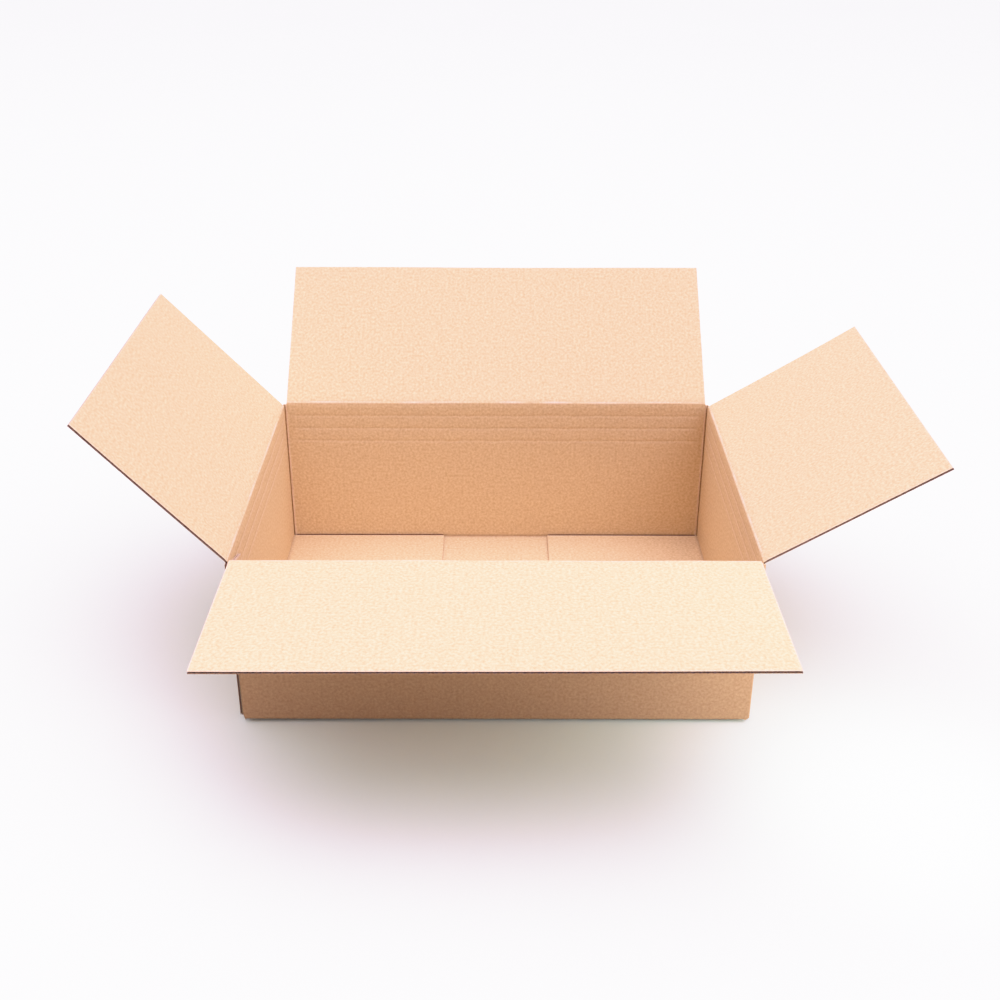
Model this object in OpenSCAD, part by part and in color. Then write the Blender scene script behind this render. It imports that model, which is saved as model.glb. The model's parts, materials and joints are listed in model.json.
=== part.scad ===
// Open shipping box, folded from one sheet of fine-fluted single-wall board.
// Origin at the middle of the base, on the surface that the box stands on.
// X runs along the length, +Y to the back wall, +Z up. Millimetres.

/* [Box] */
// Outside length, along X
box_length = 310; // [240:1:480]
// Outside width, along Y
box_width = 230; // [140:1:300]
// Height of the long walls' top creases above the base
box_height = 111; // [60:1:240]

/* [Board] */
// Thickness of the corrugated board
board = 1.6; // [1.2:0.1:3]
// Thickness of each of the two flat liners
liner = 0.2; // [0.15:0.05:0.35]
// Thickness of the fluted paper between the liners, measured across the board
medium = 0.25; // [0.15:0.05:0.35]
// Spacing of the flutes
flute_pitch = 3.6; // [2.8:0.1:8]
// Inside radius where the board is folded
fold_inside = 0.4; // [0.2:0.1:2]

/* [Flaps] */
// Slit left between the two long flaps where they meet
seam_gap = 2; // [0.5:0.5:6]
// Setback of each flap's side edges from the outer corner of the box
slot_inset = 3; // [2.2:0.1:6]
// Depth of the slots below the short walls' creases
slot_depth = 1.1; // [0.5:0.1:4]
// Slope of the front flap above level, opened outwards
front_tilt = 1.5; // [-60:0.5:90]
// Slope of the back flap above level, opened outwards
back_tilt = 40.5; // [-60:0.5:90]
// Slope of the left flap above level, opened outwards
left_tilt = 47; // [-60:0.5:90]
// Slope of the right flap above level, opened outwards
right_tilt = 31; // [-60:0.5:90]

/* [Creases] */
// Clearance between a flap and the wall at their crease
crease_gap = 0.2; // [0.1:0.05:0.5]
// Outer paper left uncrushed at the top of a wall
crease_land = 0.1; // [0.05:0.05:0.3]
// Length of board crushed thin on each side of a crease
crease_crush = 4; // [3.5:0.5:8]
// Thickness of the crushed board
crease_board = 0.8; // [0.4:0.1:1]
// Clearance between a closed short flap and the long flap over it
lay_gap = 0.1; // [0:0.05:0.5]
// Number of depth scores pressed round the inside of the walls
score_count = 3; // [0:1:5]
// Spacing of the depth scores below the long walls' creases
score_pitch = 10; // [5:1:18]
// Width of a depth score
score_width = 3; // [1:0.5:4]
// Depth of a depth score
score_depth = 0.3; // [0.1:0.05:0.5]

/* [Glue tab] */
// Width of the tab that joins the front wall to the left wall
tab_width = 30; // [15:1:45]
// Slant of the tab's top and bottom edges, in degrees
tab_slant = 17; // [5:1:30]
// Setback of the left wall's cut edge from the front face
edge_setback = 0.4; // [0:0.1:2]

/* [Hidden] */
$fn = 48;
// Cuts run this far past the faces that they open
past = 1;
kraft = "#C99B6B";
kraft_inside = "#DDB387";

// Outside radius of a fold
fold_outside = fold_inside + board;
// The short flaps lie under the long ones, so their creases are one board nearer the middle of the walls
crease_step = board + lay_gap;
long_crease = box_height;
short_crease = box_height - crease_step;
long_foot = 0;
short_foot = board;
// The two long flaps meet in the middle, and all flaps are cut off along one straight edge of the sheet
long_flap = (box_width - seam_gap) / 2;
short_flap = long_flap + crease_step;
// The slots leave each corner fold standing between these heights
corner_low = short_foot + fold_outside;
corner_high = short_crease - slot_depth;
// A flap starts this far from its crease, so that its bevel clears the wall's when it is folded shut
flap_start = 2 * crease_land + crease_gap;
// The crushed inner face beside a crease: depth from the outer face, and distance from the crease
crushed_face = [
    [crease_land, 0],
    [crease_board, crease_board - crease_land],
    [crease_board, crease_crush - (board - crease_board)],
    [board, crease_crush]
];
// The flutes stand this deep in the glue on the liners
glue_depth = 0.03;
// Half of the flat top of a flute, as a share of the pitch
flute_flat = 0.1;

// Places what is drawn for the front wall on the wall that is a turn round from it.
// There X runs along the wall, Y points into the box from the outer face, and Z is up.
module at_wall(turn, reach) {
    rotate([0, 0, turn]) translate([0, -reach, 0]) children();
}

// Carries a profile drawn in Y and Z along X
module along_wall(from, to) {
    translate([from, 0, 0]) rotate([90, 0, 90]) linear_extrude(to - from) children();
}

// A quarter of a folded strip of board, with its outer corner at the origin
module fold_quarter() {
    translate([fold_outside, fold_outside]) intersection() {
        difference() {
            circle(fold_outside);
            circle(fold_inside);
        }
        translate([-fold_outside, -fold_outside]) square(fold_outside);
    }
}

// Elevation of a wall between its corner folds, narrower where the slots are cut
module wall_outline(span, foot, crease, left_end, right_end) {
    half = span / 2 - slot_inset;
    translate([-span / 2 + left_end, corner_low])
        square([span - left_end - right_end, corner_high - corner_low]);
    translate([-span / 2 + max(slot_inset, left_end), foot + fold_outside])
        square([half + span / 2 - max(slot_inset, left_end), crease - foot - fold_outside]);
}

// Shallow V pressed into the inner face at each depth score
module scores(from, to) {
    spread = score_width / 2 * (1 + past / score_depth);
    for (k = [1:1:score_count])
        along_wall(from, to) translate([board, long_crease - k * score_pitch])
            polygon([[-score_depth, 0], [past, -spread], [past, spread]]);
}

// Gives an elevation drawn in X and Z the thickness of the board
module panel() {
    translate([0, board, 0]) rotate([90, 0, 0]) linear_extrude(board) children();
}

// A wall with its bottom fold and bottom flap
module wall(span, foot, crease, flap, left_end, right_end, score_end) {
    half = span / 2 - slot_inset;
    from = -min(half, span / 2 - left_end);
    difference() {
        panel() wall_outline(span, foot, crease, left_end, right_end);
        along_wall(-span, span) translate([0, crease])
            polygon(concat(
                [[crease_land, past]],
                [for (p = crushed_face) [p.x, -p.y]],
                [[board + past, -crease_crush], [board + past, past]]
            ));
        scores(-span / 2 + left_end, span / 2 - score_end);
    }
    along_wall(from, half) {
        translate([0, foot]) fold_quarter();
        translate([fold_outside, foot]) square([flap - fold_outside, board]);
    }
}

// The fold between a wall's right-hand end and the next wall
module corner_fold(span) {
    translate([span / 2, 0, corner_low]) rotate([0, 0, 90])
        linear_extrude(corner_high - corner_low) fold_quarter();
}

// The fold at the front wall's left-hand end, and the tab that is glued inside the left wall
module glue_tab() {
    translate([-box_length / 2 + board, 0, 0]) {
        translate([0, 0, corner_low]) linear_extrude(corner_high - corner_low) fold_quarter();
        drop = (tab_width - fold_outside) * tan(tab_slant);
        mirror([1, -1, 0]) difference() {
            panel() polygon([
                [fold_outside, corner_low],
                [tab_width, corner_low + drop],
                [tab_width, corner_high - drop],
                [fold_outside, corner_high]
            ]);
            scores(fold_outside, tab_width + past);
        }
    }
}

// Section across the flutes: two liners and the wave of paper glued between them
module fluted_section(width) {
    count = round(width / flute_pitch);
    half_wave = width / count / 2;
    flat = flute_flat * 2 * half_wave;
    low = liner - glue_depth;
    high = board - liner - medium + glue_depth;
    wave = [
        for (k = [0:2 * count], side = [-1, 1])
            [
                min(max(-width / 2 + k * half_wave + side * flat, -width / 2), width / 2),
                k % 2 == 0 ? low : high
            ]
    ];
    last = len(wave) - 1;
    translate([-width / 2, 0]) square([width, liner]);
    translate([-width / 2, board - liner]) square([width, liner]);
    polygon(concat(
        [for (k = [1:last - 1]) wave[k]],
        [for (k = [last - 1:-1:1]) wave[k] + [0, medium]]
    ));
}

// A top flap standing upright on its crease, which lies along X at the origin
module flap(span, length) {
    width = span - 2 * slot_inset;
    flutes_start = flap_start + crease_crush;
    along_wall(-width / 2, width / 2) translate([0, flap_start])
        polygon(concat([[0, 0]], crushed_face, [[0, crease_crush]]));
    translate([0, 0, flutes_start]) linear_extrude(length - flutes_start) fluted_section(width);
}

// A top flap on its crease, opened outwards to its slope
module open_flap(span, length, crease, tilt) {
    translate([0, 0, crease]) rotate([90 - tilt, 0, 0]) flap(span, length);
}

// The sheet's four walls in turn from the glue tab, with the bottom flaps glued one pair on the other
module carton_body() {
    color(kraft) union() {
        at_wall(0, box_width / 2) {
            glue_tab();
            wall(box_length, long_foot, long_crease, long_flap, board + fold_outside, fold_outside, fold_outside);
            corner_fold(box_length);
        }
        at_wall(90, box_length / 2) {
            wall(box_width, short_foot, short_crease, short_flap, fold_outside, fold_outside, fold_outside);
            corner_fold(box_width);
        }
        at_wall(180, box_width / 2) {
            wall(box_length, long_foot, long_crease, long_flap, fold_outside, fold_outside, fold_outside);
            corner_fold(box_length);
        }
        at_wall(-90, box_length / 2)
            wall(box_width, short_foot, short_crease, short_flap, fold_outside, edge_setback, tab_width);
    }
}

module front_flap() {
    color(kraft_inside) at_wall(0, box_width / 2)
        open_flap(box_length, long_flap, long_crease, front_tilt);
}

module back_flap() {
    color(kraft_inside) at_wall(180, box_width / 2)
        open_flap(box_length, long_flap, long_crease, back_tilt);
}

module left_flap() {
    color(kraft_inside) at_wall(-90, box_length / 2)
        open_flap(box_width, short_flap, short_crease, left_tilt);
}

module right_flap() {
    color(kraft_inside) at_wall(90, box_length / 2)
        open_flap(box_width, short_flap, short_crease, right_tilt);
}

carton_body();
front_flap();
back_flap();
left_flap();
right_flap();
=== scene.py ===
"""Looks of an open shipping box folded from fine-fluted kraft board, on a pale floor under soft light."""
import json
import math
from collections import namedtuple

import bpy
import numpy as np
from mathutils import Matrix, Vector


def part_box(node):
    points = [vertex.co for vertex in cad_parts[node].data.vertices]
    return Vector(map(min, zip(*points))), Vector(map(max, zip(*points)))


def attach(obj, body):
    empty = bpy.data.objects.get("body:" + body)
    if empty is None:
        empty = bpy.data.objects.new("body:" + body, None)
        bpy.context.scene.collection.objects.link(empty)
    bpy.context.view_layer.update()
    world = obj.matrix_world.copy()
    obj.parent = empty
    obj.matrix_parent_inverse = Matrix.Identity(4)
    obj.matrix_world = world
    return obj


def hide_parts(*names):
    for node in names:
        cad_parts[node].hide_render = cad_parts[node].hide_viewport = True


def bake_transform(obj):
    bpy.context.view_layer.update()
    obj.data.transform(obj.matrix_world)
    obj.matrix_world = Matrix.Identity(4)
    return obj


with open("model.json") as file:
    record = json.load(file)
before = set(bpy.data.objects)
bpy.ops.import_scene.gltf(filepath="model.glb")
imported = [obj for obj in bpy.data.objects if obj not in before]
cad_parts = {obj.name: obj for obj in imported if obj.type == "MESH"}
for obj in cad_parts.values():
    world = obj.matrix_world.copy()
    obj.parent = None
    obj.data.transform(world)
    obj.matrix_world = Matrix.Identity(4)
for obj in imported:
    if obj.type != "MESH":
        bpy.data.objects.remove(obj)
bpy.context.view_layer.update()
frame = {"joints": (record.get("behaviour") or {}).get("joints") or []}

# Lengths below are in millimetres, and meshes are made in metres.
MM = 0.001
TURN = 2 * math.pi

# The board and its cuts, as in the part's source
BOARD = 1.6
LINER = 0.2
FLUTING = 0.25
FLUTE_PITCH = 3.6
FOLD_OUTSIDE = 2.0
SEAM_GAP = 2.0
SLOT_INSET = 3.0
SLOT_DEPTH = 1.1
TAB_WIDTH = 30.0
TAB_SLANT = 17.0
EDGE_SETBACK = 0.4
SCORE_COUNT = 3
SCORE_PITCH = 10.0

# How the papers give: glue between them, the liners' dip between flutes, and the flaps' bow and its spacing
GLUE = 0.02
WASHBOARD = 0.03
FLAP_BOW = 0.25
BOW_SIZE = 210.0
# How far the corners of each flap's free edge are warped inwards, left-hand corner first as seen from outside
FLAP_WARP = {"front": (0.0, 0.3), "right": (0.5, 2.0), "back": (0.0, 0.0), "left": (-0.2, 1.1)}
# Creases of the top flaps: depth and reach of the crushed board, and the line's wander and its spacing
CREASE_CRUSH = 0.3
CREASE_REACH = 1.6
CREASE_WANDER = 0.12
WANDER_SIZE = 90.0
# Depth scores: depth, half width, rise over the part's source, waver, and the length of their fading ends
SCORE_DEPTH = 0.16
SCORE_HALF = 0.9
SCORE_RISE = 0.8
SCORE_WAVER = 0.12
SCORE_FADE = 9.0
# Corner folds: outer radius, crushed thickness, where the long and short walls' board is whole again,
# the bead beside the fold on the long walls, and the trim at both ends, which is deeper at the corner
CORNER_RADIUS = 1.0
CORNER_CRUSH = 0.7
LONG_WHOLE = 2.4
SHORT_WHOLE = 3.0
BEAD_HEIGHT = 0.3
BEAD_FROM_CORNER = 2.6
BEAD_REACH = 0.5
CORNER_TRIM = 0.3
CORNER_CLIP = 0.9

# Painted light and shade as a tint of the paper: painted highlights on cut edges, creases, scores and beads,
# with some rub on the creases, and painted shade in scores, feet, slits and corners.
# The short walls' scores are seen at a slant, and their painted highlight and shade are drawn stronger.
CUT_HIGHLIGHT = 0.7
CUT_REACH = 0.45
TAB_CUT_HIGHLIGHT = 1.2
CREASE_HIGHLIGHT_AND_RUB = 0.35
SCORE_HIGHLIGHT = 0.14
SCORE_SHADE = 0.08
SHORT_SCORES = 2.5
BEAD_HIGHLIGHT = 0.6
FOOT_PAINTED_SHADE = 0.3
SLIT_PAINTED_SHADE = 0.6
CORNER_PAINTED_SHADE = 0.35

# Soft lights: the heading round from +X to +Y and the height, both in degrees, the brightness and the fade.
# Each is a patch of the studio's sky that fades as the cosine of the angle from its middle to that power.
SOFT_LIGHTS = [
    (0, 90, 3.0, 6),
    (0, 45, 1.5, 10),
    (90, 45, 1.5, 10),
    (180, 45, 1.75, 10),
    (315, 45, 3.05, 10),
    (135, 15, 1.6, 10),
]
LIGHT_COLOUR = "#F1DFFF"
# Near lights, in metres and watts: a soft box overhead, whose light falls off over the floor,
# and a small card low on the right that throws light back on the front wall
NearLight = namedtuple("NearLight", "name size power colour place target spread")
NEAR_LIGHTS = [
    NearLight("overhead_soft_box", 2.8, 26.0, LIGHT_COLOUR, (0.0, 0.0, 2.0), (0.0, 0.0, 0.0), 180),
    NearLight("right_bounce_card", 0.12, 0.13, "#E2EAFF", (0.31, -0.26, 0.11), (0.15, -0.115, 0.04), 80),
]
# The plain backdrop that closes the floor at the horizon, colour and brightness
BACKDROP_COLOUR = "#FBF8FF"
BACKDROP_LIGHT = 1.15
# The tone curve: where its shoulder starts, the scene brightness shown as white, and its number of steps
TONE_KNEE = 0.75
TONE_WHITE = 2.2
TONE_STEPS = 22
# How the picture's green departs from its red and blue: scene brightness, and the brightness taken for it
GREEN_POINTS = [(0.3, 0.3), (0.42, 0.427), (0.6, 0.595), (0.82, 0.791), (1.2, 1.2)]

# Gap between the bottom folds and the floor
FLOOR_GAP = 1.8

# Columns of the mesh for each flute, and the height below a crease where wall and flap meet in the mesh
FLAP_COLUMNS = 6
WALL_COLUMNS = 4
SEAM_BELOW = 6.0
# The unseen face of each paper takes its pattern from this far along the sheet
OTHER_FACE = 500.0

# The whole sheet, from the frame
crease_of = {joint["child"]: joint for joint in frame["joints"]}
carton_low, carton_high = (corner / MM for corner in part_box("carton_body"))
LENGTH = carton_high.x - carton_low.x
WIDTH = carton_high.y - carton_low.y
LONG_CREASE = crease_of["front_flap"]["pos_m"][2] / MM
SHORT_CREASE = crease_of["left_flap"]["pos_m"][2] / MM
LONG_FLAP = (WIDTH - SEAM_GAP) / 2
SHORT_FLAP = LONG_FLAP + LONG_CREASE - SHORT_CREASE
CORNER_LOW = BOARD + FOLD_OUTSIDE
CORNER_HIGH = SHORT_CREASE - SLOT_DEPTH

Side = namedtuple("Side", "name turn span half reach crease foot flap tilt first")
Path = namedtuple("Path", "y z ny nz v out")
Plan = namedtuple("Plan", "x y nx ny s")
Shell = namedtuple("Shell", "points quads sheet worn paper")
# Places of the papers in a piece's list of materials
INSIDE, BETWEEN, OUTSIDE = range(3)


def side_of(name, turn, first):
    """A wall and its flaps. At its joint's upper limit a flap lies level, which gives its slope."""
    tilt = math.radians(180 - crease_of[name + "_flap"]["range_deg"][1])
    if name in ("front", "back"):
        span, reach, crease, foot, flap = LENGTH, WIDTH / 2, LONG_CREASE, 0.0, LONG_FLAP
    else:
        span, reach, crease, foot, flap = WIDTH, LENGTH / 2, SHORT_CREASE, BOARD, SHORT_FLAP
    return Side(name, turn, span, span / 2 - SLOT_INSET, reach, crease, foot, flap, tilt, first)


# The walls in the order of the sheet, and where each starts on it, so that patterns run on
SIDES = [
    side_of("front", 0, 0.0),
    side_of("right", 90, LENGTH),
    side_of("back", 180, LENGTH + WIDTH),
    side_of("left", -90, 2 * LENGTH + WIDTH),
]


def is_long(side):
    """Whether a side is one of the two long walls."""
    return side.span == LENGTH


def smooth_step(t):
    """Rises from 0 to 1 with level ends: 3t² - 2t³ on the clipped t."""
    t = np.clip(t, 0, 1)
    return t * t * (3 - 2 * t)


def bell(distance, reach):
    """A bump of height 1: e to the minus square of the distance over its reach."""
    return np.exp(-((distance / reach) ** 2))


def cloud(u, v, size, seed):
    """A smooth random surface of about unit height: a sum of plane waves near one size, from a seed."""
    draw = np.random.default_rng(seed)
    count = 12
    heading = draw.uniform(0, TURN, count)
    waves = TURN / (size * draw.uniform(0.7, 1.4, count))
    phase = draw.uniform(0, TURN, count)
    u, v = np.broadcast_arrays(u, v)
    total = np.zeros(u.shape)
    for k in range(count):
        total += np.sin(waves[k] * (np.cos(heading[k]) * u + np.sin(heading[k]) * v) + phase[k])
    return total * math.sqrt(2 / count)


def flute_phase(u, half):
    """The angle of the fluting's wave at u: a whole number of waves between the slots, low at both."""
    count = round(2 * half / FLUTE_PITCH)
    return TURN * count * (u + half) / (2 * half)


def dips(u, v, half, seed, half_turn):
    """How far a liner sinks between the flutes that carry it: a raised cosine, deeper on some flutes."""
    depth = 0.5 - 0.5 * np.cos(flute_phase(u, half) + half_turn)
    return WASHBOARD * depth * (1 + 0.4 * cloud(u, v / 8, 11.0, seed))


def columns(low, high, per_flute):
    """Even columns across a width, a fixed number for each flute."""
    count = max(2, round((high - low) / FLUTE_PITCH * per_flute) + 1)
    return np.linspace(low, high, count)


def closed_slab(shape):
    """Quads of a closed slab between two like grids: the lower, the upper turned over, and a rim."""
    low = np.arange(shape[0] * shape[1]).reshape(shape)
    top = low + low.size

    def cells(grid):
        corners = [grid[:-1, :-1], grid[:-1, 1:], grid[1:, 1:], grid[1:, :-1]]
        return np.stack(corners, -1).reshape(-1, 4)

    def rim(a, b):
        return np.stack([a[:-1], b[:-1], b[1:], a[1:]], -1)

    quads = [
        cells(low),
        cells(top)[:, ::-1],
        rim(low[0], top[0]),
        rim(top[-1], low[-1]),
        rim(top[:, 0], low[:, 0]),
        rim(low[:, -1], top[:, -1]),
    ]
    return np.concatenate(quads)


def slab(place, u, v, lower, upper, worn, papers):
    """A layer between two depths of the board, with its sheet places, painted light and shade, and a paper
    for each face.
    """
    u, v, lower, upper, worn = np.broadcast_arrays(u, v, lower, upper, worn)
    points = np.concatenate([place(lower).reshape(-1, 3), place(upper).reshape(-1, 3)])
    on_sheet = np.stack([u, v], -1).reshape(-1, 2)
    sheet = np.concatenate([on_sheet + [0.0, OTHER_FACE], on_sheet])
    painted_light_and_rub_values = np.concatenate([np.zeros(worn.size), worn.ravel()])
    quads = closed_slab(u.shape)
    paper = np.full(len(quads), papers[1])
    paper[:(u.shape[0] - 1) * (u.shape[1] - 1)] = papers[0]
    return Shell(points, quads, sheet, painted_light_and_rub_values, paper)


def carried(path, u, lift):
    """Carries a profile along X: a depth becomes the path's point plus its normal times the depth."""
    def place(depth):
        x = np.broadcast_to(u, depth.shape)
        y = path.y[:, None] + path.ny[:, None] * depth
        z = path.z[:, None] + path.nz[:, None] * depth + lift
        return np.stack([x, y, z], -1)
    return place


def upright(plan, z):
    """Carries a plan upwards: a depth becomes the plan's point plus its normal times the depth."""
    def place(depth):
        x = plan.x + plan.nx * depth
        y = plan.y + plan.ny * depth
        return np.stack([x, y, np.broadcast_to(z, depth.shape)], -1)
    return place


def layers(u, half, inner, outer):
    """Depths of the papers between the board's faces: outer liner, a cosine wave of fluting, inner liner."""
    wave = 0.5 - 0.5 * np.cos(flute_phase(u, half))
    low = outer + LINER - GLUE + wave * (inner - outer - 2 * LINER - FLUTING + 2 * GLUE)
    return [
        (outer, outer + LINER, (OUTSIDE, OUTSIDE)),
        (low, low + FLUTING, (BETWEEN, BETWEEN)),
        (inner - LINER, inner, (INSIDE, INSIDE)),
    ]


def fluted_board(path, u, side, inner, outer, worn, lift, kept):
    """A board carried along X, with the outer liner and the fluting on the rows of the path that are kept."""
    whole = np.arange(len(path.v))
    shape = (len(whole), len(u))
    inner, outer, worn, lift = (np.broadcast_to(values, shape) for values in (inner, outer, worn, lift))
    shells = []
    for rows, (low, high, papers) in zip((kept[0], kept[1], whole), layers(u, side.half, inner, outer)):
        part = Path(*(values[rows] for values in path))
        painted_light_and_rub_values = worn[rows] if rows is whole else 0.0
        place = carried(part, u, lift[rows])
        shells.append(slab(place, u + side.first, part.v[:, None], low[rows], high[rows], painted_light_and_rub_values, papers))
    return shells


def spread_rows(count, kept):
    """Row numbers spread evenly over a path, with both its ends."""
    return np.unique(np.linspace(0, count - 1, kept).round().astype(int))


def wall_path(side):
    """A straight path up the outer face, with rows close together at the foot and at the depth scores."""
    low = side.foot + FOLD_OUTSIDE
    near = np.array([-2.0, -1.4, -0.9, -0.45, 0.0, 0.45, 0.9, 1.4, 2.0])
    marks = [mark + near for mark in score_marks()]
    at_foot = low + np.array([0.0, 0.5, 1.0, 1.5, 2.2])
    between = np.linspace(low + 12, side.crease - SEAM_BELOW, 8)
    rows = np.unique(np.concatenate([at_foot, between] + marks))
    flat = np.zeros_like(rows)
    return Path(flat, rows, flat + 1, flat, rows, flat)


def base_path(side):
    """From a bottom flap's free edge out to the fold and round a quarter turn up to the wall."""
    out = np.array([side.flap, side.flap - 0.5, side.flap - 1.2, side.flap * 0.6, 12.0, 4.5, 3.0])
    bend = np.linspace(-math.pi / 2, -math.pi, 7)
    flat = np.zeros_like(out)
    round_trip = np.zeros_like(bend)
    y = np.concatenate([out, FOLD_OUTSIDE * (1 + np.cos(bend))])
    z = side.foot + np.concatenate([flat, FOLD_OUTSIDE * (1 + np.sin(bend))])
    ny = np.concatenate([flat, -np.cos(bend)])
    nz = np.concatenate([flat + 1, -np.sin(bend)])
    run = np.concatenate([-out, round_trip - FOLD_OUTSIDE])
    return Path(y, z, ny, nz, run, np.concatenate([out - FOLD_OUTSIDE, round_trip]))


def flap_path(side):
    """Up the top of the wall, round the crease as a fan of normals about it, and out along the open flap."""
    near = np.array([0.3, 0.7, 1.2, 2.0, 3.2, 4.6])
    below = -np.concatenate([[SEAM_BELOW], near[::-1]])
    fan = np.linspace(0, math.pi / 2 - side.tilt, 9)
    out = np.concatenate([near, np.linspace(7.5, side.flap - 1.2, 6), [side.flap - 0.5, side.flap]])
    flat = np.zeros_like(below)
    pivot = np.zeros_like(fan)
    level = np.zeros_like(out)
    y = np.concatenate([flat, pivot, -math.cos(side.tilt) * out])
    z = side.crease + np.concatenate([below, pivot, math.sin(side.tilt) * out])
    ny = np.concatenate([flat + 1, np.cos(fan), level + math.sin(side.tilt)])
    nz = np.concatenate([flat, np.sin(fan), level + math.cos(side.tilt)])
    run = np.concatenate([below, BOARD * fan, out + BOARD * fan[-1]])
    return Path(y, z, ny, nz, side.crease + run, np.concatenate([below, pivot, out]))


def fold_plan(before, after):
    """Plan of a fold about its outer corner: in along X by the first distances, round, and off along Y."""
    bend = np.linspace(-math.pi / 2, 0, 7)
    flat = np.zeros_like(before)
    level = np.zeros_like(after)
    x = np.concatenate([-before, CORNER_RADIUS * (np.cos(bend) - 1), level])
    y = np.concatenate([flat, CORNER_RADIUS * (np.sin(bend) + 1), after])
    nx = np.concatenate([flat, -np.cos(bend), level - 1])
    ny = np.concatenate([flat + 1, -np.sin(bend), level])
    return Plan(x, y, nx, ny, np.concatenate([before, np.full_like(bend, CORNER_RADIUS), after]))


def fold_depth(s, whole):
    """Thickness at a distance from a fold's outer corner: crushed at the fold, whole further off."""
    return CORNER_CRUSH + (BOARD - CORNER_CRUSH) * smooth_step((s - CORNER_RADIUS) / (whole - CORNER_RADIUS))


def fold_bead(s):
    """A bead of paper pushed back beside a fold: a bell about its distance from the corner."""
    return bell(s - BEAD_FROM_CORNER, BEAD_REACH)


def plan_run(plan):
    """Distance along a plan from its first point."""
    return np.concatenate([[0.0], np.cumsum(np.hypot(np.diff(plan.x), np.diff(plan.y)))])


def score_marks():
    """Heights of the depth scores, counted down from the long walls' creases."""
    return [LONG_CREASE + SCORE_RISE - SCORE_PITCH * (k + 1) for k in range(SCORE_COUNT)]


def score_lines(u, z, half, seed):
    """A bell across each depth score, which wavers a little and dies out before the folds."""
    ends = smooth_step((half - np.abs(u)) / SCORE_FADE)
    total = 0.0
    for k, mark in enumerate(score_marks()):
        line = mark + SCORE_WAVER * cloud(u, 0.0, 30.0, seed + k)
        total = total + bell(z[:, None] - line, SCORE_HALF) * ends
    return total


def flap_board(side, seed):
    """A top flap with its crease and the top of its wall, crushed at the crease and a little bowed."""
    u = columns(-side.half, side.half, FLAP_COLUMNS)
    path = flap_path(side)
    out = path.out[:, None]
    crushed = bell(out, CREASE_REACH)
    warp = np.interp(u, [-side.half, side.half], FLAP_WARP[side.name])
    bow = np.clip(out / side.flap, 0, 1) ** 1.5 * (warp + FLAP_BOW * cloud(u, out, BOW_SIZE, seed))
    inner = BOARD - dips(u, path.v[:, None], side.half, seed + 1, math.pi) - CREASE_CRUSH * crushed + bow
    outer = dips(u, path.v[:, None], side.half, seed + 2, 0.0) + bow
    lift = CREASE_WANDER * bell(out, 4.0) * cloud(u, 0.0, WANDER_SIZE, seed + 3)
    # A pale line on the flap's side of the crease: painted highlight, with some rub
    highlight_and_rub = bell(out - 0.4, 0.4) * (CREASE_HIGHLIGHT_AND_RUB + 0.2 * cloud(u, 0.0, 25.0, seed + 4))
    # Paler along the flap's cut edges: painted highlight
    cut = bell(side.half - np.abs(u), CUT_REACH) * smooth_step(out / 2) + bell(side.flap - out, CUT_REACH)
    every = np.arange(len(path.v))
    alternate = np.union1d(every[::2], every[-1:])
    return fluted_board(path, u, side, inner, outer, highlight_and_rub + CUT_HIGHLIGHT * cut, lift, (alternate, alternate))


def wall_board(side, seed):
    """A wall between its slots, from the bottom fold to just below the crease, scored inside."""
    u = columns(-side.half, side.half, WALL_COLUMNS)
    path = wall_path(side)
    z = path.z[:, None]
    groove = score_lines(u, path.z, side.half, seed)
    # Rows just below each score line, for its painted highlight
    highlight_and_rub = score_lines(u, path.z + 0.8, side.half, seed)
    beads = fold_bead(side.span / 2 - np.abs(u)) if is_long(side) else 0.0
    inner = BOARD - dips(u, z, side.half, seed + 1, math.pi) - SCORE_DEPTH * groove + BEAD_HEIGHT * beads
    outer = dips(u, z, side.half, seed + 2, 0.0)
    # Painted highlight below each score and painted shade in its groove, stronger on the short walls
    scored = (1.0 if is_long(side) else SHORT_SCORES) * (SCORE_HIGHLIGHT * highlight_and_rub - SCORE_SHADE * groove)
    # Painted highlight on the beads beside the corner folds, and painted shade in the wall's foot and slits
    worn = BEAD_HIGHLIGHT * beads + scored + foot_shade(side, u) * (1 - smooth_step((z - 2.9) / 0.7))
    kept = (spread_rows(len(path.v), 6), spread_rows(len(path.v), 2))
    return fluted_board(path, u, side, inner, outer, worn, 0.0, kept)


def foot_shade(side, u):
    """Painted shade in the foot of a wall: dark in the slits beside the short bottom flaps, faint elsewhere.
    """
    if is_long(side):
        return -FOOT_PAINTED_SHADE - SLIT_PAINTED_SHADE * smooth_step(np.abs(u) - (LENGTH / 2 - SHORT_FLAP))
    return -FOOT_PAINTED_SHADE


def base_board(side, seed):
    """A bottom flap with its fold up to the wall."""
    u = columns(-side.half, side.half, WALL_COLUMNS)
    path = base_path(side)
    out = path.out[:, None]
    inner = BOARD - dips(u, path.v[:, None], side.half, seed + 1, math.pi)
    outer = dips(u, path.v[:, None], side.half, seed + 2, 0.0)
    # Painted shade at the fold up to the wall, and painted highlight along the flap's side edges
    worn = foot_shade(side, u) * bell(out, 1.0) + 0.5 * bell(side.half - np.abs(u), 0.6) * smooth_step(out)
    every = np.arange(len(path.v))
    return fluted_board(path, u, side, inner, outer, worn, 0.0, (every, every))


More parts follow.
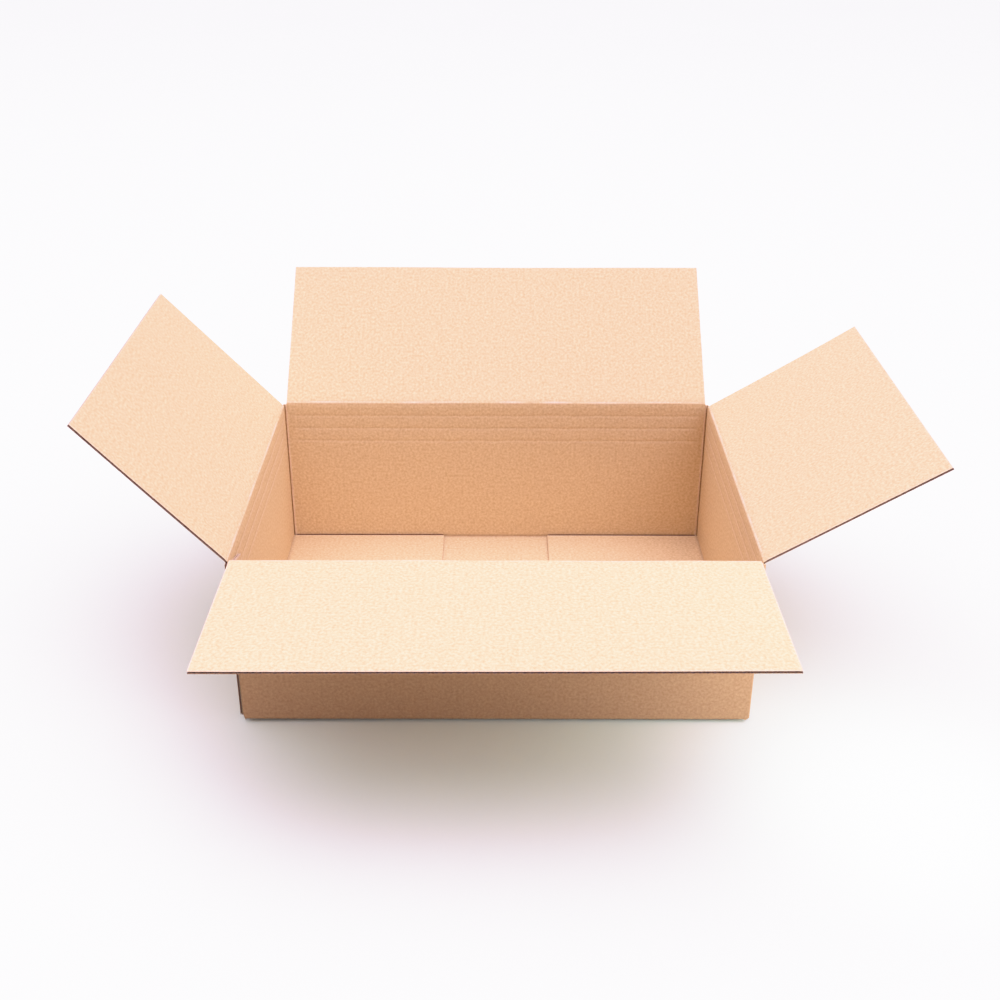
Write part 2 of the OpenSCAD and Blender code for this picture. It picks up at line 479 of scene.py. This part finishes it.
def corner_board(side, after, seed):
    """The fold between a wall and the next: crushed thin, with painted shade inside, and a bead on the long
    wall.
    """
    near = np.array([SLOT_INSET, 2.8, 2.6, 2.4, 2.2, 2.0, 1.7, 1.4])
    plan = fold_plan(near, near[::-1])
    share = np.linspace(0, 1, len(plan.s))
    clip = CORNER_TRIM + CORNER_CLIP * bell(share - 0.5, 0.2)
    low = side.foot + (after.foot - side.foot) * share + clip
    high = side.crease + (after.crease - side.crease) * share - CORNER_TRIM
    z = low + np.linspace(0, 1, 60)[:, None] * (high - low)
    on_long = (share < 0.5) == is_long(side)
    bead = np.where(on_long, fold_bead(plan.s), 0.0)
    depth = fold_depth(plan.s, np.where(on_long, LONG_WHOLE, SHORT_WHOLE))
    depth = depth + BEAD_HEIGHT * bead * (1 + 0.5 * cloud(z, 0.0, 26.0, seed))
    # Painted highlight on the bead, and painted shade inside the fold
    worn = BEAD_HIGHLIGHT * bead - CORNER_PAINTED_SHADE * (1 - smooth_step((plan.s - 1.4) / 0.7))
    run = side.half + plan_run(plan) + side.first
    place = upright(plan._replace(x=plan.x + side.span / 2), z)
    return [slab(place, run, z, 0.0, depth, worn, (OUTSIDE, INSIDE))]


def tab_board(side, seed):
    """The fold at the front wall's left-hand end and the slant-cut tab, glued inside the left wall."""
    corner = BOARD - side.span / 2
    along = np.concatenate([columns(SLOT_INSET, TAB_WIDTH, WALL_COLUMNS)[::-1], [2.6, 2.2, 1.8, 1.4]])
    fold = fold_plan(along, np.array([1.2, -side.half - corner]))
    plan = Plan(corner + fold.y, -fold.x, fold.ny, -fold.nx, fold.s)
    run = plan_run(plan)
    u = run - run[-1] - side.half
    drop = np.clip(plan.y - FOLD_OUTSIDE, 0, None) * math.tan(math.radians(TAB_SLANT))
    turned = smooth_step((plan.x - corner) / (-side.half - corner))
    low = CORNER_LOW + drop - (CORNER_LOW - CORNER_TRIM) * turned
    high = CORNER_HIGH - drop + (LONG_CREASE - CORNER_TRIM - CORNER_HIGH) * turned
    share = np.concatenate([np.linspace(0, 0.97, 24), [0.985, 0.994, 1.0]])[:, None]
    z = low + share * (high - low)
    inner = fold_depth(plan.s, LONG_WHOLE) - dips(u, z, side.half, seed + 1, math.pi)
    # Paler along the tab's slanted cut edge: painted highlight
    cut = TAB_CUT_HIGHLIGHT * bell(high - z, 0.8)
    return [slab(upright(plan, z), u + side.first, z, lower, upper, cut, (OUTSIDE, INSIDE))
            for lower, upper, _ in layers(u, side.half, inner, np.zeros_like(inner))]


def margin_board(side, seed):
    """The strip of the left wall between its slot and its cut edge at the front corner."""
    u = columns(side.half, side.span / 2 - EDGE_SETBACK, FLAP_COLUMNS)
    rows = np.linspace(CORNER_LOW, SHORT_CREASE - CORNER_TRIM, 12)
    flat = np.zeros_like(rows)
    path = Path(flat, rows, flat + 1, flat, rows, flat)
    inner = BOARD - dips(u, rows[:, None], side.half, seed + 1, math.pi)
    outer = dips(u, rows[:, None], side.half, seed + 2, 0.0)
    every = np.arange(len(rows))
    return fluted_board(path, u, side, inner, outer, 0.0, 0.0, (every, every))


def linear(hex_colour):
    """An sRGB hex colour as linear RGBA."""
    values = [int(hex_colour[k:k + 2], 16) / 255 for k in (1, 3, 5)]
    return [c / 12.92 if c <= 0.04045 else ((c + 0.055) / 1.055) ** 2.4 for c in values] + [1.0]


def node(tree, kind, inputs=(), **settings):
    """Adds a shader node, sets its properties, and links or sets its inputs."""
    made = tree.nodes.new("ShaderNode" + kind)
    for key, value in settings.items():
        setattr(made, key, value)
    for key, value in dict(inputs).items():
        if isinstance(value, bpy.types.NodeSocket):
            tree.links.new(value, made.inputs[key])
        else:
            made.inputs[key].default_value = value
    return made


def start_material(name):
    """An empty node material and its output."""
    material = bpy.data.materials.new(name)
    material.use_nodes = True
    tree = material.node_tree
    tree.nodes.clear()
    return material, tree, node(tree, "OutputMaterial")


def kraft_paper(name, light, dark, roughness):
    """Kraft paper, matted from wood fibres on a wire: fine fibres, cloudy formation, faint streaks, and tints
    of painted highlight and painted shade, with some rub on the creases.
    """
    material, tree, output = start_material(name)
    sheet = node(tree, "UVMap", uv_map="sheet").outputs["UV"]

    def noise(across, along, detail):
        """Noise with grains of the given sizes in millimetres across and along the flutes."""
        scaled = node(tree, "Mapping", {"Vector": sheet, "Scale": (1 / across, 1 / along, 1.0)}).outputs[0]
        made = node(tree, "TexNoise", {"Vector": scaled, "Scale": 1.0, "Detail": detail, "Roughness": 0.6})
        return made.outputs["Fac"]

    def weighed(value, middle, weight, total):
        """Adds a weighed pattern, taken about its middle, to a running total."""
        centred = node(tree, "Math", {0: value, 1: middle}, operation="SUBTRACT").outputs[0]
        return node(tree, "Math", {0: centred, 1: weight, 2: total}, operation="MULTIPLY_ADD").outputs[0]

    def tinted(colour, amount, full, hue):
        """Mixes a colour towards a hue as the painted light and rub value goes from none to the given amount.
        """
        share = node(tree, "MapRange", {0: worn, 1: 0.0, 2: amount, 3: 0.0, 4: full}).outputs[0]
        return node(tree, "Mix", {0: share, 6: colour, 7: linear(hue)}, data_type="RGBA").outputs[2]

    # Single fibres are finer than the picture shows, so their clumps are drawn
    fibres = noise(1.7, 1.8, 2.0)
    formation = noise(6.0, 7.0, 2.0)
    streaks = noise(1.5, 60.0, 1.0)
    worn = node(tree, "Attribute", attribute_name="worn").outputs["Fac"]
    tone = weighed(fibres, 0.5, 3.0, 0.5)
    tone = weighed(formation, 0.5, 0.4, tone)
    tone = weighed(streaks, 0.5, 0.25, tone)
    shades = {0: tone, 6: linear(dark), 7: linear(light)}
    kraft = node(tree, "Mix", shades, data_type="RGBA", clamp_factor=False)
    # Pale tint where the value is above nought: painted highlight, with some rub on the creases
    highlight_and_rub = tinted(kraft.outputs[2], 1.0, 0.6, "#F2DCCB")
    # Deep brown tint where the value is below nought: painted shade
    with_painted_shade = tinted(highlight_and_rub, -1.0, 1.0, "#6A4229")
    bump = node(tree, "Bump", {"Height": fibres, "Strength": 0.3, "Distance": 0.05 * MM})
    shader = node(tree, "BsdfPrincipled", {
        "Base Color": with_painted_shade,
        "Roughness": roughness,
        "Specular IOR Level": 0.2,
        "Normal": bump.outputs[0],
    })
    tree.links.new(shader.outputs[0], output.inputs[0])
    return material


def painted_floor():
    """Matt white studio sweep, rolled paint: plain, with a faint cloudiness."""
    material, tree, output = start_material("matt white studio floor")
    place = node(tree, "TexCoord").outputs["Object"]
    clouds = node(tree, "TexNoise", {"Vector": place, "Scale": 1.5, "Detail": 2.0}).outputs["Fac"]
    colour = node(tree, "Mix", {0: clouds, 6: linear("#DCEAD4"), 7: linear("#E0EED7")}, data_type="RGBA")
    shader = node(tree, "BsdfPrincipled", {
        "Base Color": colour.outputs[2],
        "Roughness": 0.9,
        "Specular IOR Level": 0.1,
    })
    tree.links.new(shader.outputs[0], output.inputs[0])
    return material


def on_side(side, points):
    """Moves points drawn for the front wall to a side of the box, in metres."""
    turn = math.radians(side.turn)
    cos, sin = math.cos(turn), math.sin(turn)
    x, y, z = np.moveaxis(points - np.array([0.0, side.reach, 0.0]), -1, 0)
    return MM * np.stack([x * cos - y * sin, x * sin + y * cos, z], -1)


def make_piece(name, side, shells, papers):
    """Joins shells into one mesh on a side of the box, with its sheet places as UV and its painted light and
    shade.
    """
    starts = np.cumsum([0] + [len(shell.points) for shell in shells])
    points = on_side(side, np.concatenate([shell.points for shell in shells]))
    quads = np.concatenate([shell.quads + start for shell, start in zip(shells, starts)]).astype(np.int32)
    sheet = np.concatenate([shell.sheet for shell in shells])
    worn = np.concatenate([shell.worn for shell in shells])
    paper = np.concatenate([shell.paper for shell in shells])

    mesh = bpy.data.meshes.new(name)
    mesh.vertices.add(len(points))
    mesh.vertices.foreach_set("co", points.astype(np.float32).ravel())
    mesh.loops.add(quads.size)
    mesh.loops.foreach_set("vertex_index", quads.ravel())
    mesh.polygons.add(len(quads))
    mesh.polygons.foreach_set("loop_start", np.arange(0, quads.size, 4, dtype=np.int32))
    mesh.polygons.foreach_set("material_index", paper.astype(np.int32))
    mesh.update(calc_edges=True)
    mesh.uv_layers.new(name="sheet").data.foreach_set("uv", sheet[quads.ravel()].astype(np.float32).ravel())
    # This attribute holds painted highlight and painted shade, with some rub on the creases
    mesh.attributes.new("worn", "FLOAT", "POINT").data.foreach_set("value", worn.astype(np.float32))
    for material in papers:
        mesh.materials.append(material)
    mesh.shade_smooth()
    mesh.set_sharp_from_angle(angle=math.radians(45))
    piece = bpy.data.objects.new(name, mesh)
    bpy.context.scene.collection.objects.link(piece)
    return piece


def dress_box():
    """The folded sheet: four walls, their corner folds, the glue tab, the bottom flaps and the top flaps."""
    papers = [
        kraft_paper("inner kraft liner", "#E1C99A", "#CFB483", 0.82),
        kraft_paper("fluting paper", "#92796A", "#6E594C", 0.9),
        # The outer liner is darker than the inner one, partly its own tone and partly painted shade for the
        # front wall in shade
        kraft_paper("outer kraft liner", "#C39C72", "#B38A62", 0.82),
    ]
    for k, side in enumerate(SIDES):
        seed = 100 * (k + 1)
        shells = {
            side.name + "_wall": wall_board(side, seed),
            side.name + "_bottom_flap": base_board(side, seed + 20),
        }
        if side.name == "front":
            shells["glue_tab"] = tab_board(side, seed + 30)
        if side.name == "left":
            shells["left_wall"] += margin_board(side, seed)
        else:
            shells[side.name + "_corner_fold"] = corner_board(side, SIDES[k + 1], seed + 40)
        for name, made in shells.items():
            piece = make_piece(name + "_board", side, made, papers)
            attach(piece, "carton")
            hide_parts("carton_body")
        flap = make_piece(side.name + "_flap_board", side, flap_board(side, seed + 50), papers)
        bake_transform(flap)
        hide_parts(side.name + "_flap")


def lay_floor():
    """A level disc of floor: rings of growing radius, closed at the middle by a first ring of no radius.

    It lies a little below the folds, which a box stands clear by because its bottom flaps sag."""
    radius = 12.0
    rings = radius * np.linspace(0, 1, 5) ** 2
    around = np.linspace(0, TURN, 49)[:-1]
    x = rings[:, None] * np.cos(around)
    y = rings[:, None] * np.sin(around)
    points = np.stack([x, y, np.full_like(x, -FLOOR_GAP * MM)], -1).reshape(-1, 3)
    index = np.arange(len(points)).reshape(len(rings), len(around))
    nxt = np.roll(index, -1, axis=1)
    quads = np.stack([index[:-1], index[1:], nxt[1:], nxt[:-1]], -1).reshape(-1, 4)
    mesh = bpy.data.meshes.new("studio_floor")
    mesh.from_pydata(points.tolist(), [], quads.tolist())
    mesh.materials.append(painted_floor())
    floor = bpy.data.objects.new("studio_floor", mesh)
    bpy.context.scene.collection.objects.link(floor)


def set_near_lights():
    """Square area lights, each turned to its target and out of the picture."""
    for near in NEAR_LIGHTS:
        light = bpy.data.lights.new(near.name, "AREA")
        light.shape = "SQUARE"
        light.size = near.size
        light.energy = near.power
        light.color = linear(near.colour)[:3]
        light.spread = math.radians(near.spread)
        lamp = bpy.data.objects.new(near.name, light)
        lamp.location = near.place
        aim = np.subtract(near.target, near.place)
        pan = math.atan2(aim[0], aim[1])
        pitch = math.atan2(aim[2], math.hypot(aim[0], aim[1]))
        lamp.rotation_euler = (math.pi / 2 + pitch, 0, -pan)
        lamp.visible_camera = False
        bpy.context.scene.collection.objects.link(lamp)


def light_studio():
    """A sky of soft lights: the sum of each one's brightness times its cosine to the power of its fade.

    The eye sees a plain backdrop in its place."""
    world = bpy.data.worlds.new("soft_studio_light")
    world.use_nodes = True
    tree = world.node_tree
    direction = node(tree, "TexCoord").outputs["Generated"]
    strength = 0.0
    for heading, height, brightness, fade in SOFT_LIGHTS:
        level = math.cos(math.radians(height))
        middle = (
            level * math.cos(math.radians(heading)),
            level * math.sin(math.radians(heading)),
            math.sin(math.radians(height)),
        )
        cosine = node(tree, "VectorMath", {0: direction, 1: middle}, operation="DOT_PRODUCT").outputs["Value"]
        facing = node(tree, "Math", {0: cosine, 1: 0.0}, operation="MAXIMUM").outputs[0]
        faded = node(tree, "Math", {0: facing, 1: fade}, operation="POWER").outputs[0]
        added = {0: faded, 1: brightness, 2: strength}
        strength = node(tree, "Math", added, operation="MULTIPLY_ADD").outputs[0]
    background = tree.nodes["Background"]
    background.inputs["Color"].default_value = linear(LIGHT_COLOUR)
    tree.links.new(strength, background.inputs["Strength"])
    backdrop = node(tree, "Background", {"Color": linear(BACKDROP_COLOUR), "Strength": BACKDROP_LIGHT})
    by_eye = node(tree, "LightPath").outputs["Is Camera Ray"]
    either = node(tree, "MixShader", {0: by_eye, 1: background.outputs[0], 2: backdrop.outputs[0]})
    tree.links.new(either.outputs[0], tree.nodes["World Output"].inputs[0])
    bpy.context.scene.world = world


def shown(light):
    """The tone curve: straight up to its knee, and above it an exponential approach to white."""
    room = 1 - TONE_KNEE
    return light if light <= TONE_KNEE else 1 - room * math.exp((TONE_KNEE - light) / room)


def develop_picture():
    """A tone curve with a soft shoulder, so that bright kraft isn't burnt out, and a bend of the green."""
    settings = bpy.context.scene.view_settings
    settings.view_transform = "Standard"
    settings.use_curve_mapping = True
    curves = settings.curve_mapping
    curves.white_level = [TONE_WHITE] * 3
    curves.clip_min_x, curves.clip_max_x = 0.0, 1.0
    curve = curves.curves[3]
    curve.points[0].location = (0.0, 0.0)
    curve.points[1].location = (1.0, 1.0)
    for k in range(1, TONE_STEPS):
        curve.points.new(k / TONE_STEPS, shown(TONE_WHITE * k / TONE_STEPS))
    for light, taken in GREEN_POINTS:
        curves.curves[1].points.new(light / TONE_WHITE, taken / TONE_WHITE)
    curves.update()


def set_camera():
    """The photograph's view: a 47 mm lens on a 36 mm sensor, in front and above, nearly square to the box."""
    camera = bpy.data.cameras.new("camera")
    camera.sensor_width = 36.0
    camera.lens = 47.34
    place = Matrix.Translation((0.0004, -0.7650, 0.4891))
    pan = Matrix.Rotation(math.radians(-0.18), 4, "Z")
    pitch = Matrix.Rotation(math.radians(90 - 27.45), 4, "X")
    roll = Matrix.Rotation(math.radians(0.2), 4, "Z")
    viewer = bpy.data.objects.new("camera", camera)
    viewer.matrix_world = place @ pan @ pitch @ roll
    bpy.context.scene.collection.objects.link(viewer)
    bpy.context.scene.camera = viewer


set_camera()
light_studio()
set_near_lights()
develop_picture()
lay_floor()
dress_box()
